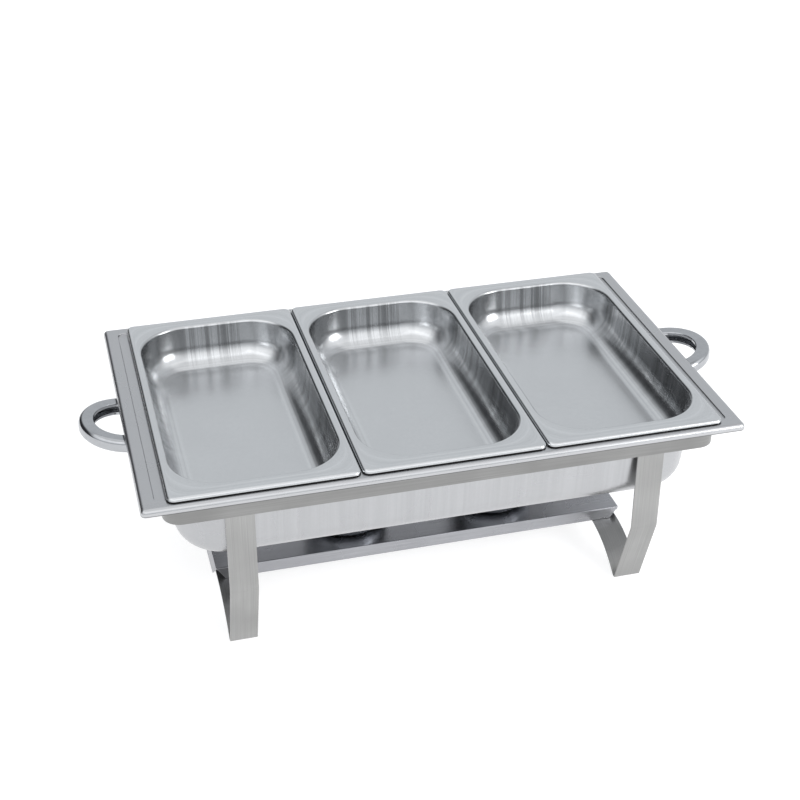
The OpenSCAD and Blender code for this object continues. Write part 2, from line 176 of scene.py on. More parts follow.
def add_draw_marks_and_painted_shade(material, streak_and_painted_shade, ring_shade, streaks, rings):
    """Paints shade and streaks on walls, rings the rims, paints a shadow line at the lip end."""
    tree = material.node_tree
    shader = tree.nodes["Principled BSDF"]
    drawn = add_node(tree, "ShaderNodeAttribute", {"attribute_name": "drawn"}).outputs["Vector"]
    wall = add_node(tree, "ShaderNodeAttribute", {"attribute_name": "wall"}).outputs["Fac"]
    down = add_node(tree, "ShaderNodeMapping", Vector=drawn,
                    Scale=(1 / STREAK_WIDTH, 1 / STREAK_WIDTH, 1 / STREAK_LENGTH))
    streak = add_node(tree, "ShaderNodeTexNoise", Vector=down.outputs[0], Scale=1.0, Detail=3.0,
                      Roughness=0.6)
    wide = add_node(tree, "ShaderNodeTexNoise", Vector=down.outputs[0], Scale=0.16, Detail=1.0)
    mark = add_node(tree, "ShaderNodeMath", {"operation": "MULTIPLY"}, _0=streak.outputs[0],
                    _1=wide.outputs[0])
    # Painted shade: the map starts at 0.45, so every wall is darkened, not only the streaks.
    strength = add_node(tree, "ShaderNodeMapRange", Value=mark.outputs[0], From_Min=0.34,
                        From_Max=0.16, To_Min=0.45)
    streaks_and_wall_shade = add_node(tree, "ShaderNodeMath", {"operation": "MULTIPLY"}, _0=strength.outputs[0],
                       _1=wall)

    colour = shader.inputs["Base Color"].links[0].from_socket
    shaded = add_node(tree, "ShaderNodeMix", {"data_type": "RGBA", "blend_type": "MULTIPLY"},
                      _0=streaks_and_wall_shade.outputs[0], _6=colour, _7=[streak_and_painted_shade] * 3 + [1.0])

    across = add_node(tree, "ShaderNodeSeparateXYZ", Vector=drawn).outputs[2]
    ring_at = add_node(tree, "ShaderNodeMath", {"operation": "DIVIDE"}, _0=across,
                       _1=RING_PITCH)
    ring = add_node(tree, "ShaderNodeTexNoise", {"noise_dimensions": "1D"}, W=ring_at.outputs[0],
                    Scale=1.0, Detail=2.0)
    flat = add_node(tree, "ShaderNodeMath", {"operation": "SUBTRACT"}, _0=1.0, _1=wall)
    on_rim = add_node(tree, "ShaderNodeMath", {"operation": "MULTIPLY"}, _0=ring.outputs[0],
                      _1=flat.outputs[0])
    ring_tone = add_node(tree, "ShaderNodeMath", {"operation": "MULTIPLY"}, _0=on_rim.outputs[0],
                         _1=ring_shade)
    ring_shaded = add_node(tree, "ShaderNodeMix", {"data_type": "RGBA", "blend_type": "MULTIPLY"},
                           _0=ring_tone.outputs[0], _6=shaded.outputs[2], _7=linear("#000000"))
    # Painted shadow: near the end of the lip the colour turns near-black, a shadow line under the
    # rim.
    lip_shadow_mask = add_node(tree, "ShaderNodeMapRange", Value=across, From_Min=LIP_SHADOW_REACH,
                      From_Max=LIP_SHADOW_REACH * 0.6)
    lip_shadowed = add_node(tree, "ShaderNodeMix", {"data_type": "RGBA"}, _0=lip_shadow_mask.outputs[0],
                      _6=ring_shaded.outputs[2], _7=linear(LIP_SHADOW_COLOUR))
    tree.links.new(lip_shadowed.outputs[2], shader.inputs["Base Color"])

    normal = shader.inputs["Normal"].links[0].from_socket
    ringed = add_node(tree, "ShaderNodeBump", Height=on_rim.outputs[0], Strength=rings,
                      Distance=RING_HEIGHT, Normal=normal)
    streaked = add_node(tree, "ShaderNodeBump", Height=streaks_and_wall_shade.outputs[0], Strength=streaks,
                        Distance=STREAK_HEIGHT, Normal=ringed.outputs[0])
    tree.links.new(streaked.outputs[0], shader.inputs["Normal"])
    return material


# %% The finishes of this dish
# Satin pan sheet: pale and even, so flats read as one tone and bends carry the highlights.
# Both pan finishes carry painted shade on the walls and a painted shadow line at the lip end.
satin_drawn_pan = add_draw_marks_and_painted_shade(
    stainless("stainless_satin_drawn_pan", "#DCDEE0", 0.24, (400, 400, 400), lines=0.01,
              shade=0.96),
    streak_and_painted_shade=0.36, ring_shade=0.25, streaks=0.35, rings=1.0)
satin_water_pan = add_draw_marks_and_painted_shade(
    stainless("stainless_satin_water_pan", "#BBBCBE", 0.28, (400, 400, 400), lines=0.0,
              shade=0.97),
    streak_and_painted_shade=0.88, ring_shade=0.0, streaks=0.0, rings=0.8)
# Rolled strip: duller and slightly warm, with lines along the strip.
rolled_leg_strip = stainless(
    "stainless_rolled_leg_strip", "#A6A6A5", 0.32, (1500, 12, 12), lines=0.5, clouds=0.04,
    shade=0.8)
rolled_band_strip = stainless(
    "stainless_rolled_band_strip", "#939392", 0.32, (12, 12, 1500), lines=0.4, clouds=0.04,
    shade=0.8)
# Polished channel: close to a mirror.
polished_channel = stainless(
    "stainless_polished_channel", "#B2B4B7", 0.12, (200, 200, 200), lines=0.05, clouds=0.02)
# Cold-rolled sheet: lines along the shelf, a little bluish.
cold_rolled_shelf = stainless(
    "stainless_cold_rolled_shelf", "#ABACB0", 0.27, (20, 900, 900), lines=0.4, shade=0.82)
# Tinplate: dark and glossy.
drawn_tinplate = stainless(
    "tinplate_drawn_cup", "#A2A4A8", 0.16, (40, 40, 900), lines=0.2, shade=0.7)
rolled_damper = stainless(
    "stainless_rolled_damper", "#A9ABAD", 0.25, (1200, 60, 60), lines=0.4)
upset_rivet = stainless(
    "stainless_upset_rivet", "#B9BBBD", 0.22, (400, 400, 400), lines=0.2)
print("materials", [m.name for m in bpy.data.materials if m.name.startswith(("stain", "tin"))])

# %% [markdown]
# ## From a finished mesh to a piece
# Sheet metal is modelled as its outer skin first. Solidify then gives the skin its gauge towards
# the inside, a small Bevel breaks the cut edges, and weighted normals keep the big flats flat
# while the bends stay round. A piece rides on its CAD body and stands for its CAD node.

# %% Finish a sheet-metal piece


def sheet_piece(name, bm, material, gauge, body, nodes, edge=0.2 * MM, inwards=True):
    """Turns a bmesh skin into a piece of sheet metal that rides on its CAD body."""
    mesh = bpy.data.meshes.new(name)
    bm.to_mesh(mesh)
    bm.free()
    for polygon in mesh.polygons:
        polygon.use_smooth = True
    piece = bpy.data.objects.new(name, mesh)
    bpy.context.scene.collection.objects.link(piece)
    mesh.materials.append(material)
    if gauge:
        solid = piece.modifiers.new("gauge", "SOLIDIFY")
        solid.thickness = gauge
        solid.offset = -1 if inwards else 0
        solid.use_even_offset = True
    if edge:
        broken = piece.modifiers.new("broken edges", "BEVEL")
        broken.width = edge
        broken.segments = 2
        broken.limit_method = "ANGLE"
        broken.angle_limit = math.radians(50)
    weighted = piece.modifiers.new("flat flats", "WEIGHTED_NORMAL")
    weighted.keep_sharp = False
    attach(piece, body)
    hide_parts(*nodes)
    print(f"{name}: {len(mesh.polygons)} faces before modifiers")
    return piece


# %% [markdown]
# ## Outlines with round corners
# The pans and the band are all rounded rectangles seen from above. Each starts as a flat square
# whose four corners are rounded by a vertex bevel. The open loop is then extruded from one
# outline to the next, down the section of the sheet, as a press draws a pan from a blank.

# %% Outlines and the loops that follow them
CORNER_STEPS = 12
BEND_STEPS = 8

Outline = namedtuple("Outline", "length width corner z")


def inset_outline(outline, inset, drop):
    """A concentric outline, so far inwards and so far down."""
    return Outline(outline.length - 2 * inset, outline.width - 2 * inset,
                   outline.corner - inset, outline.z - drop)


def first_loop(bm, outline):
    """Edges of a rounded rectangle lying on its outline."""
    corners = bmesh.ops.create_grid(bm, x_segments=1, y_segments=1, size=0.5)["verts"]
    bmesh.ops.scale(bm, verts=corners, vec=(outline.length, outline.width, 1))
    bmesh.ops.translate(bm, verts=corners, vec=(0, 0, outline.z))
    bmesh.ops.bevel(bm, geom=corners, offset=outline.corner, offset_type="OFFSET",
                    segments=CORNER_STEPS, profile=0.5, affect="VERTICES", material=-1,
                    clamp_overlap=False)
    bmesh.ops.delete(bm, geom=list(bm.faces), context="FACES_ONLY")
    return list(bm.edges)


def carry(point, now, after):
    """Where a point on one outline goes on another, by its corner and its direction there."""
    sides = Vector((math.copysign(1, point.x), math.copysign(1, point.y)))
    centre = Vector((sides.x * (now.length / 2 - now.corner),
                     sides.y * (now.width / 2 - now.corner)))
    direction = (Vector(point.xy) - centre).normalized()
    new_centre = Vector((sides.x * (after.length / 2 - after.corner),
                         sides.y * (after.width / 2 - after.corner)))
    flat = new_centre + after.corner * direction
    return Vector((flat.x, flat.y, after.z))


def draw_sheet(bm, outlines, walls=None):
    """Extrudes a loop through a list of outlines and returns the edges of the last one. Each
    corner of the mesh also keeps where it was drawn from, and how much of a wall it is."""
    drawn = bm.verts.layers.float_vector.new("drawn")
    wall = bm.verts.layers.float.new("wall")
    edges = first_loop(bm, outlines[0])
    for vert in bm.verts:
        vert[drawn] = (vert.co.x, vert.co.y, 0)
    down = 0
    for i, (now, after) in enumerate(zip(outlines, outlines[1:])):
        made = bmesh.ops.extrude_edge_only(bm, edges=edges)["geom"]
        verts = [g for g in made if isinstance(g, bmesh.types.BMVert)]
        down += math.hypot((now.width - after.width) / 2, now.z - after.z)
        for vert in verts:
            vert.co = carry(vert.co, now, after)
            vert[drawn] = (vert[drawn].x, vert[drawn].y, down)
            vert[wall] = walls[i + 1] if walls else 0
        moved = set(verts)
        edges = [g for g in made if isinstance(g, bmesh.types.BMEdge)
                 and g.verts[0] in moved and g.verts[1] in moved]
    return edges


def arc(centre, radius, start, end, steps=BEND_STEPS):
    """Points on a circle in a section, from one angle in degrees to another."""
    angles = [math.radians(start + (end - start) * i / steps) for i in range(steps + 1)]
    return [(centre[0] + radius * math.cos(a), centre[1] + radius * math.sin(a)) for a in angles]


def section(outline, points):
    """Outlines for the (inset, drop) points of a section."""
    return [inset_outline(outline, inset, drop) for inset, drop in points]


# %% [markdown]
# ## The section of a pan
# From the outside in, a drawn pan has a short downturned lip, a round edge, a flat rim, a turn
# into the well, a sloping wall, and a generous bend into the floor. The slope, a few degrees,
# lets the pan leave the punch and lets pans nest.

# %% Sections for the edge and the well of a pan


def edge_points(lip, radius, curl):
    """From the curled-in end of the lip up and over the round edge."""
    return arc((curl, lip - curl), curl, 90, 180, 4) + arc((radius, radius), radius, 180, 270)


def well_points(mouth_radius, depth, floor_radius, draft):
    """From the flat rim down the mouth, the wall and the floor bend."""
    slope = math.radians(draft)
    mouth = arc((-mouth_radius, mouth_radius), mouth_radius, -90, -draft)
    wall_x, wall_drop = mouth[-1]
    low_drop = depth - floor_radius + floor_radius * math.sin(slope)
    low_x = wall_x + (low_drop - wall_drop) * math.tan(slope)
    bend_centre = (low_x + floor_radius * math.cos(slope), depth - floor_radius)
    return mouth + arc(bend_centre, floor_radius, 180 - draft, 90, 10)


def wall_share(outlines, mouth_index):
    """How much of a wall each outline is on: the steepness of the sheet below the mouth."""
    shares = [0] * len(outlines)
    for i in range(mouth_index, len(outlines) - 1):
        before, after = outlines[i - 1], outlines[i + 1]
        run, fall = (before.width - after.width) / 2, before.z - after.z
        shares[i] = (fall / math.hypot(run, fall)) ** 2
    return shares


def close_floor(bm, edges):
    """Fills the floor and turns every face outwards, which is up on the seen side."""
    inner = bmesh.ops.contextual_create(bm, geom=edges)["faces"]
    bmesh.ops.inset_region(bm, faces=inner, thickness=4 * MM, use_even_offset=True)
    bmesh.ops.recalc_face_normals(bm, faces=list(bm.faces))
    floor = max(bm.faces, key=lambda face: face.calc_area())
    if floor.normal.z < 0:
        bmesh.ops.reverse_faces(bm, faces=list(bm.faces))


# %% [markdown]
# ## Water pan
# The water pan carries everything above the stand. Its raised border locates the food pans, and
# a step of a millimetre and a half drops from it to the ledge round the well.

# %% The water pan
water_low, water_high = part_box("water_pan")
PAN_GAUGE = 0.8 * MM
PAN_LIP, PAN_EDGE_R, PAN_CURL, PAN_CORNER_R = 6.5 * MM, 4 * MM, 1.2 * MM, 5 * MM
BORDER_W, LEDGE_DROP, LEDGE_CORNER_R, STEP_BEND_R = 13 * MM, 1.5 * MM, 5 * MM, 0.6 * MM
WELL_L, WELL_W, WELL_CORNER_R = 477.6 * MM, 287.6 * MM, 49 * MM
WELL_MOUTH_R, WELL_FLOOR_R, WELL_DRAFT = 3 * MM, 24.2 * MM, 6

size = water_high - water_low
flange = Outline(size.x, size.y, PAN_CORNER_R, water_high.z)
step = Outline(size.x - 2 * BORDER_W, size.y - 2 * BORDER_W, LEDGE_CORNER_R, water_high.z)
well = Outline(WELL_L, WELL_W, WELL_CORNER_R, water_high.z - LEDGE_DROP)
step_points = (arc((-STEP_BEND_R, STEP_BEND_R), STEP_BEND_R, -90, 0, 4)
               + arc((STEP_BEND_R, LEDGE_DROP - STEP_BEND_R), STEP_BEND_R, 180, 90, 4))

flat_part = section(flange, edge_points(PAN_LIP, PAN_EDGE_R, PAN_CURL)) + section(step, step_points)
drawn_part = section(well, well_points(WELL_MOUTH_R, size.z - LEDGE_DROP - PAN_GAUGE,
                                       WELL_FLOOR_R, WELL_DRAFT))
outlines = flat_part + drawn_part

bm = bmesh.new()
close_floor(bm, draw_sheet(bm, outlines, wall_share(outlines, len(flat_part))))
sheet_piece("water_pan_drawn", bm, satin_water_pan, PAN_GAUGE, "water_bath",
            ["water_pan"])

# %% [markdown]
# ## Food pans
# The three food pans are the same pressing, so one function makes them. Each rests with its
# lip on the raised border of the water pan at the front and the back.

# %% The food pans
FOOD_LIP, FOOD_EDGE_R, FOOD_CURL, FOOD_CORNER_R = 3.9 * MM, 2.8 * MM, 1.0 * MM, 7 * MM
FOOD_END_RIM, FOOD_SIDE_RIM, FOOD_DEPTH = 16.5 * MM, 8.75 * MM, 40 * MM
MOUTH_CORNER_R, MOUTH_EDGE_R, FOOD_FLOOR_R, FOOD_DRAFT = 44 * MM, 3 * MM, 22 * MM, 5


def food_pan(place):
    """One food pan, made round the origin and moved to its place."""
    low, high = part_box(f"food_pan_{place}")
    rim = Outline(high.x - low.x, high.y - low.y, FOOD_CORNER_R, high.z)
    mouth = Outline(rim.length - 2 * FOOD_SIDE_RIM, rim.width - 2 * FOOD_END_RIM,
                    MOUTH_CORNER_R, high.z)
    flat_part = section(rim, edge_points(FOOD_LIP, FOOD_EDGE_R, FOOD_CURL))
    outlines = flat_part + section(mouth, well_points(MOUTH_EDGE_R, FOOD_DEPTH, FOOD_FLOOR_R,
                                                      FOOD_DRAFT))
    bm = bmesh.new()
    close_floor(bm, draw_sheet(bm, outlines, wall_share(outlines, len(flat_part))))
    bmesh.ops.translate(bm, verts=list(bm.verts), vec=((low.x + high.x) / 2, 0, 0))
    return sheet_piece(f"food_pan_{place}_drawn", bm, satin_drawn_pan, PAN_GAUGE,
                       f"{place}_food", [f"food_pan_{place}"])


for place in ("left", "middle", "right"):
    food_pan(place)

# %% [markdown]
# ## Stand band
# The band is strip, bent on edge into a ring. It is drawn as a loop and lifted once.

# %% The band
band_low, band_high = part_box("stand_band")
BAND_GAUGE, BAND_CORNER_R = 1.2 * MM, 16 * MM
ring = Outline(band_high.x - band_low.x, band_high.y - band_low.y, BAND_CORNER_R, band_low.z)
bm = bmesh.new()
draw_sheet(bm, [ring, inset_outline(ring, 0, band_low.z - band_high.z)])
bmesh.ops.recalc_face_normals(bm, faces=list(bm.faces))
sheet_piece("stand_band_strip", bm, rolled_band_strip, BAND_GAUGE, "stand",
            ["stand_band"], edge=0.35 * MM)

# %% [markdown]
# ## Leg straps
# One strap per end makes leg, foot, arch, foot and leg. Its centre line is drawn as a wire with
# sharp corners, the corners are rounded by a vertex bevel, and the wire is then extruded to the
# width of the strap. Solidify gives the gauge to both sides of that centre line.

# %% The leg straps
STRAP_GAUGE = 1.5 * MM
LEG_BEND_Z, FOOT_INSET, FOOT_FLAT = 75 * MM, 26 * MM, 3.5 * MM
ARCH_Z, ARCH_LEVEL, ARCH_STEPS = 25 * MM, 54 * MM, 14
LEG_BEND_R, FOOT_BEND_R = 2.2 * MM, 1.6 * MM


def strap_line():
    """Half of the strap's centre line as (y, z) points, from the leg top to the level top."""
    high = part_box("leg_strap_right")[1]
    half = STRAP_GAUGE / 2
    leg_y = high.y - half
    foot_y = leg_y - FOOT_INSET
    heel_y = foot_y - FOOT_FLAT
    run, rise = heel_y - ARCH_LEVEL, ARCH_Z - STRAP_GAUGE
    radius = (run ** 2 + rise ** 2) / (2 * rise)
    angle = math.degrees(math.asin(run / radius))
    curve = arc((ARCH_LEVEL, ARCH_Z - half - radius), radius, 90 - angle, 90, ARCH_STEPS)
    return [(leg_y, high.z), (leg_y, LEG_BEND_Z), (foot_y, half)] + curve


def leg_strap(name):
    """One strap, folded from strip."""
    low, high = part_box(f"leg_strap_{name}")
    back = strap_line()
    line = back + [(-y, z) for y, z in reversed(back)]
    bm = bmesh.new()
    verts = [bm.verts.new((low.x, y, z)) for y, z in line]
    for pair in zip(verts, verts[1:]):
        bm.edges.new(pair)
    bends = [(1, LEG_BEND_R), (2, FOOT_BEND_R), (3, FOOT_BEND_R)]
    for index, radius in bends:
        for corner in (verts[index], verts[-1 - index]):
            bmesh.ops.bevel(bm, geom=[corner], offset=radius, offset_type="OFFSET", segments=6,
                            profile=0.5, affect="VERTICES", material=-1, clamp_overlap=True)
    made = bmesh.ops.extrude_edge_only(bm, edges=list(bm.edges))["geom"]
    bmesh.ops.translate(bm, verts=[g for g in made if isinstance(g, bmesh.types.BMVert)],
                        vec=(high.x - low.x, 0, 0))
    bmesh.ops.recalc_face_normals(bm, faces=list(bm.faces))
    sheet_piece(f"leg_strap_{name}_folded", bm, rolled_leg_strip, STRAP_GAUGE, "stand",
                [f"leg_strap_{name}"], edge=0.35 * MM, inwards=False)


for name in ("left", "right"):
    leg_strap(name)

# %% [markdown]
# ## Handles
# A handle is a rolled channel, open towards the inside of its loop, with its free edges curled
# so that they don't cut. Its section is drawn once, extruded along one arm, spun half a turn
# round the loop and extruded along the other arm.

# %% The handles
LOOP_R, HANDLE_REACH, HANDLE_TILT = 41 * MM, 56.5 * MM, math.radians(8)
CHANNEL_W, CHANNEL_H, CHANNEL_CURL, HANDLE_GAUGE = 13 * MM, 12.4 * MM, 3 * MM, 1.2 * MM
CHANNEL_BEND_R, LOOP_STEPS = 4.4 * MM, 40
PLATE_W, PLATE_H, PLATE_CORNER_R = 96 * MM, 19 * MM, 3 * MM
CURL_BEND_R, LIP_GAP = 1.2 * MM, 0.4 * MM


def new_parts(made, kind):
    """The vertices or edges among what an operator made."""
    return [g for g in made if isinstance(g, kind)]


def channel_wire(bm, x, y_side):
    """The channel's skin in section: curl, flange, web, flange, curl."""
    outer, inner, top = LOOP_R, LOOP_R - CHANNEL_W, CHANNEL_H / 2
    corners = [(inner, top - CHANNEL_CURL), (inner, top), (outer, top), (outer, -top),
               (inner, -top), (inner, -top + CHANNEL_CURL)]
    verts = [bm.verts.new((x, y_side * r, z)) for r, z in corners]
    for pair in zip(verts, verts[1:]):
        bm.edges.new(pair)
    for vert, radius in zip(verts[1:-1], (CURL_BEND_R, CHANNEL_BEND_R, CHANNEL_BEND_R, CURL_BEND_R)):
        bmesh.ops.bevel(bm, geom=[vert], offset=radius, offset_type="OFFSET", segments=5,
                        profile=0.5, affect="VERTICES", material=-1, clamp_overlap=True)
    return list(bm.edges)


def handle(side, name):
    """One handle loop with the plate that holds it to the band."""
    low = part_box("handle_right")[0]
    root_z = handle_root_z()
    arm = HANDLE_REACH - LOOP_R
    bm = bmesh.new()
    edges = channel_wire(bm, 0, -1)
    made = bmesh.ops.extrude_edge_only(bm, edges=edges)["geom"]
    bmesh.ops.translate(bm, verts=new_parts(made, bmesh.types.BMVert), vec=(arm, 0, 0))
    front = [e for e in new_parts(made, bmesh.types.BMEdge)
             if all(abs(v.co.x - arm) < 1e-6 for v in e.verts)]
    spun = bmesh.ops.spin(bm, geom=front + list({v for e in front for v in e.verts}),
                          cent=(arm, 0, 0), axis=(0, 0, 1), angle=math.pi, steps=LOOP_STEPS,
                          use_duplicate=False)["geom_last"]
    ends = new_parts(spun, bmesh.types.BMEdge)
    made = bmesh.ops.extrude_edge_only(bm, edges=ends)["geom"]
    bmesh.ops.translate(bm, verts=new_parts(made, bmesh.types.BMVert), vec=(-arm, 0, 0))
    bmesh.ops.rotate(bm, verts=list(bm.verts), cent=(0, 0, 0),
                     matrix=Matrix.Rotation(-HANDLE_TILT, 3, "Y"))
    bmesh.ops.translate(bm, verts=list(bm.verts), vec=(low.x, 0, root_z))
    roots = [v for v in bm.verts if v.co.x < low.x + HANDLE_GAUGE]
    for vert in roots:
        vert.co.x = low.x + 0.1 * MM
    bmesh.ops.recalc_face_normals(bm, faces=list(bm.faces))
    web = max(bm.faces, key=lambda face: face.calc_center_median().x)
    if web.normal.x < 0:
        bmesh.ops.reverse_faces(bm, faces=list(bm.faces))
    add_plate(bm, low)
    if side < 0:
        bmesh.ops.rotate(bm, verts=list(bm.verts), cent=(0, 0, 0),
                         matrix=Matrix.Rotation(math.pi, 3, "Z"))
    sheet_piece(f"handle_{name}_rolled", bm, polished_channel, HANDLE_GAUGE, "stand",
                [f"handle_{name}"])


def handle_root_z():
    """Height of the channel's middle where it meets the plate, just under the flange lip."""
    lip_bottom = water_high.z - PAN_LIP
    out = water_high.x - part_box("handle_right")[0].x
    return (lip_bottom - LIP_GAP - CHANNEL_H / 2 * math.cos(HANDLE_TILT)
            - out * math.tan(HANDLE_TILT))


def add_plate(bm, low):
    """The plate at the root of the handle, its outer face one gauge off the band."""
    middle_z = (band_low.z + band_high.z) / 2
    corners = bmesh.ops.create_grid(bm, x_segments=1, y_segments=1, size=0.5)["verts"]
    turn = Matrix.Rotation(math.radians(90), 3, "Y")
    bmesh.ops.scale(bm, verts=corners, vec=(PLATE_H, PLATE_W, 1))
    bmesh.ops.rotate(bm, verts=corners, cent=(0, 0, 0), matrix=turn)
    bmesh.ops.translate(bm, verts=corners, vec=(low.x + HANDLE_GAUGE, 0, middle_z))
    plate = corners[0].link_faces[0]
    if plate.normal.x < 0:
        bmesh.ops.reverse_faces(bm, faces=[plate])
    bmesh.ops.bevel(bm, geom=corners, offset=PLATE_CORNER_R, offset_type="OFFSET", segments=6,
                    profile=0.5, affect="VERTICES", material=-1, clamp_overlap=False)


for side, name in ((-1, "left"), (1, "right")):
    handle(side, name)

# %% [markdown]
# ## Fuel shelf
# The shelf is one blank with its four edges folded down. The corners stay open, and the lips
# taper at their ends, so nothing sharp sticks out when it is drawn from the stand.

# %% The fuel shelf
shelf_low, shelf_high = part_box("fuel_shelf")
SHELF_GAUGE, SHELF_BEND_R, SHELF_MITRE = 1.0 * MM, 1.1 * MM, 7 * MM
SHELF_END_FLARE, SHELF_END_LIP = 3 * MM, 9.5 * MM


def fold_down(bm, edge, outwards, turn, fall, mitre):
    """Folds a lip down from an edge of the plate: a bend of that many degrees and a straight
    fall, with its ends drawn in by the mitre."""
    run = Vector(outwards)
    along = Vector((abs(run.y), abs(run.x), 0))
    steps = 6
    at = Vector((0, 0, 0))
    for i in range(1, steps + 2):
        made = bmesh.ops.extrude_edge_only(bm, edges=[edge])["geom"]
        verts = new_parts(made, bmesh.types.BMVert)
        if i <= steps:
            angle = math.radians(turn * i / steps)
            place = run * SHELF_BEND_R * math.sin(angle) + Vector(
                (0, 0, -SHELF_BEND_R * (1 - math.cos(angle))))
        else:
            angle = math.radians(turn)
            left = fall + at.z
            place = at + run * left / math.tan(angle) + Vector((0, 0, -left))
        bmesh.ops.translate(bm, verts=verts, vec=place - at)
        if i > steps:
            middle = sum((v.co for v in verts), Vector()) / 2
            for vert in verts:
                vert.co -= along * math.copysign(mitre, (vert.co - middle).dot(along))
        at = place
        edge = next(e for e in new_parts(made, bmesh.types.BMEdge)
                    if e.verts[0] in verts and e.verts[1] in verts)


bm = bmesh.new()
corners = bmesh.ops.create_grid(bm, x_segments=1, y_segments=1, size=0.5)["verts"]
shelf_size = shelf_high - shelf_low
plate_l = shelf_size.x - 2 * (SHELF_END_FLARE + SHELF_BEND_R)
plate_w = shelf_size.y - 2 * SHELF_BEND_R
bmesh.ops.scale(bm, verts=corners, vec=(plate_l, plate_w, 1))
bmesh.ops.translate(bm, verts=corners, vec=(0, 0, shelf_high.z))
flare = math.degrees(math.atan2(SHELF_END_LIP, SHELF_END_FLARE))
sides = {}
for edge in list(bm.edges):
    middle = (edge.verts[0].co + edge.verts[1].co) / 2
    if abs(middle.x) > abs(middle.y):
        sides[edge] = ((math.copysign(1, middle.x), 0, 0), flare, SHELF_END_LIP)
    else:
        sides[edge] = ((0, math.copysign(1, middle.y), 0), 90, shelf_size.z)
for edge, (outwards, turn, fall) in sides.items():
    fold_down(bm, edge, outwards, turn, fall, SHELF_MITRE)
bmesh.ops.recalc_face_normals(bm, faces=list(bm.faces))
plate = max(bm.faces, key=lambda face: face.calc_area())
if plate.normal.z < 0:
    bmesh.ops.reverse_faces(bm, faces=list(bm.faces))
sheet_piece("fuel_shelf_folded", bm, cold_rolled_shelf, SHELF_GAUGE, "shelf",
            ["fuel_shelf"])

# %% [markdown]
# ## Turned and drawn round pieces
# Cups, lids and rivet heads are round, so each is half a section spun a full turn about its own
# upright axis. The section is closed, so the wall has its real gauge from the start.

# %% Spin a closed section


def spun_piece(name, points, centre, material, body, nodes, steps=72, edge=0):
    """Spins (radius, height) points, in metres, about the upright line through the centre."""
    bm = bmesh.new()
    verts = [bm.verts.new((centre[0] + r, centre[1], z)) for r, z in points]
    edges = [bm.edges.new(pair) for pair in zip(verts, verts[1:] + verts[:1])]
    bmesh.ops.spin(bm, geom=verts + edges, cent=(centre[0], centre[1], 0), axis=(0, 0, 1),
                   angle=2 * math.pi, steps=steps, use_merge=True)
    bmesh.ops.remove_doubles(bm, verts=list(bm.verts), dist=1e-6)
    bmesh.ops.dissolve_degenerate(bm, edges=list(bm.edges), dist=1e-7)
    bmesh.ops.recalc_face_normals(bm, faces=list(bm.faces))
    return sheet_piece(name, bm, material, 0, body, nodes, edge=edge)


# %% [markdown]
# ## Fuel cups, lids and dampers
# A fuel cup is a drawn can with a rolled base edge. Its push-on lid has a burner opening, and a
# flat damper turns on a rivet to close the flame down.

# %% The fuel cups and their lids
CUP_GAUGE, CUP_BASE_R = 0.8 * MM, 10 * MM
BURNER_R, LID_EDGE_R = 17 * MM, 1.2 * MM
BEAD_R, BEAD_DEPTH, BEAD_Z = 2.2 * MM, 0.9 * MM, 15 * MM
BEAD_ANGLE = math.degrees(math.acos((BEAD_R - BEAD_DEPTH) / BEAD_R))


def fuel_cup(name):
    """One cup: base, round bend, wall with a bead, and the lid over it."""
    low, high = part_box(f"fuel_cup_{name}")
    centre = ((low.x + high.x) / 2, (low.y + high.y) / 2)
    r, base, top = (high.x - low.x) / 2, low.z, high.z
    bend = (r - CUP_BASE_R, base + CUP_BASE_R)
    bead = arc((r + BEAD_R - BEAD_DEPTH, base + BEAD_Z), BEAD_R, 180 + BEAD_ANGLE,
               180 - BEAD_ANGLE)
    inner_bead = arc((r + BEAD_R - BEAD_DEPTH, base + BEAD_Z), BEAD_R + CUP_GAUGE,
                     180 - BEAD_ANGLE, 180 + BEAD_ANGLE)
    outer = [(0, base)] + arc(bend, CUP_BASE_R, -90, 0) + bead + [(r, top)]
    inner = ([(r - CUP_GAUGE, top)] + inner_bead + arc(bend, CUP_BASE_R - CUP_GAUGE, 0, -90)
             + [(0, base + CUP_GAUGE)])
    spun_piece(f"fuel_cup_{name}_drawn", outer + inner, centre, drawn_tinplate, f"{name}_cup",
               [f"fuel_cup_{name}"], edge=0.15 * MM)

    low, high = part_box(f"cup_lid_{name}")
    r, top = (high.x - low.x) / 2, high.z
    corner = (r - LID_EDGE_R, top - LID_EDGE_R)
    gauge = CUP_GAUGE
    skirt = ([(BURNER_R, top)] + arc(corner, LID_EDGE_R, 90, 0, 5) + [(r, low.z)]
             + [(r - gauge, low.z)] + arc(corner, LID_EDGE_R - gauge, 0, 90, 5)
             + [(BURNER_R, top - gauge)])
    spun_piece(f"cup_lid_{name}_pressed", skirt, centre, drawn_tinplate, f"{name}_lid",
               [f"cup_lid_{name}"], edge=0.15 * MM)
    return centre


# %% The dampers and rivets
DAMPER_R, PIVOT_X, BOSS_R, TAB_REACH, TAB_R = 20.5 * MM, 29 * MM, 4 * MM, 35.5 * MM, 4.5 * MM


def rivet_points(head_r, shank_r, bottom, grip_low, grip_high, top):
    """Half section of a rivet: flat head below, shank, round head above."""
    rise = top - grip_high
    dome = [(head_r * math.cos(math.radians(a)), grip_high + rise * math.sin(math.radians(a)))
            for a in range(0, 91, 15)]
    return ([(0, bottom), (head_r * 0.9, bottom), (head_r, bottom + 0.2 * MM),
             (head_r, grip_low), (shank_r, grip_low), (shank_r, grip_high)] + dome)


